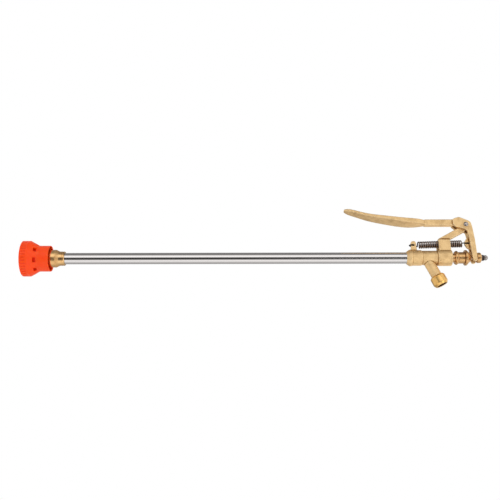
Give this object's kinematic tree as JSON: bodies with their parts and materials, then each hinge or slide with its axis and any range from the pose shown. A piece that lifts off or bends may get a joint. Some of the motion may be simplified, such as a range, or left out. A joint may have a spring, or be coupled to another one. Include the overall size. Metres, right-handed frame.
{
  "type": "lever spray lance",
  "caption": "Hand-held high-pressure spray lance: steel tube with an orange nozzle hood, cast brass lever valve, return spring, sliding rod and slanted hose inlet.",
  "frame": {"origin": "on the tube's axis, in the front face of the cast valve body, where the tube goes in", "axes": "+X along the tube towards the operating rod's dome nut, +Z towards the lever, the lever swings in the XZ plane"},
  "size_m": [0.5941, 0.0454, 0.1077],
  "materials": {
    "orange_plastic": "moulded orange polypropylene, slightly glossy",
    "turned_brass": "turned brass, bright",
    "cast_brass": "sand-cast brass, blasted pale and satin",
    "polished_brass": "polished turned brass, darker gold",
    "stainless_tube": "drawn stainless tube, fine lengthwise polish",
    "bright_steel": "bright plated steel",
    "stainless_rod": "ground stainless rod",
    "spring_steel": "oil-tempered spring wire, near black",
    "black_rubber": "nitrile rubber",
    "packing_ptfe": "white PTFE packing"
  },
  "bodies": {
    "lance": {"spray_hood": "orange_plastic", "nozzle_cap": "turned_brass", "nozzle_disc": "bright_steel", "nozzle_seal": "black_rubber", "nozzle_body": "turned_brass", "front_tube_seal": "black_rubber", "lance_tube": "stainless_tube", "rear_tube_seal": "black_rubber", "valve_body": "cast_brass", "inlet_socket": "polished_brass", "inlet_seal": "black_rubber", "gland_packing": "packing_ptfe", "gland_follower": "turned_brass", "gland_nut": "turned_brass", "return_spring": "spring_steel"},
    "squeeze_lever": {"lever": "cast_brass", "pivot_pin": "bright_steel", "pin_washer": "bright_steel"},
    "rod_group": {"needle_plug": "turned_brass", "operating_rod": "stainless_rod", "spindle_sleeve": "turned_brass", "stop_collar": "turned_brass", "end_washer": "bright_steel", "dome_nut": "bright_steel"}
  },
  "joints": [
    {"name": "lever_hinge", "type": "hinge", "parent": "lance", "child": "squeeze_lever", "pos_m": [0.0799, 0, 0.0444], "axis": [0, -1, 0], "range_deg": [0, 12], "stiffness_Nm_per_rad": 1, "springref_deg": -40.11, "deforming": ["return_spring"]},
    {"name": "rod_slide", "type": "slide", "parent": "lance", "child": "rod_group", "axis": [1, 0, 0], "range_m": [0, 0.0098]}
  ],
  "couplings": [
    {"joint": "rod_slide", "follows": "lever_hinge", "m_per_rad": 0.0466}
  ]
}
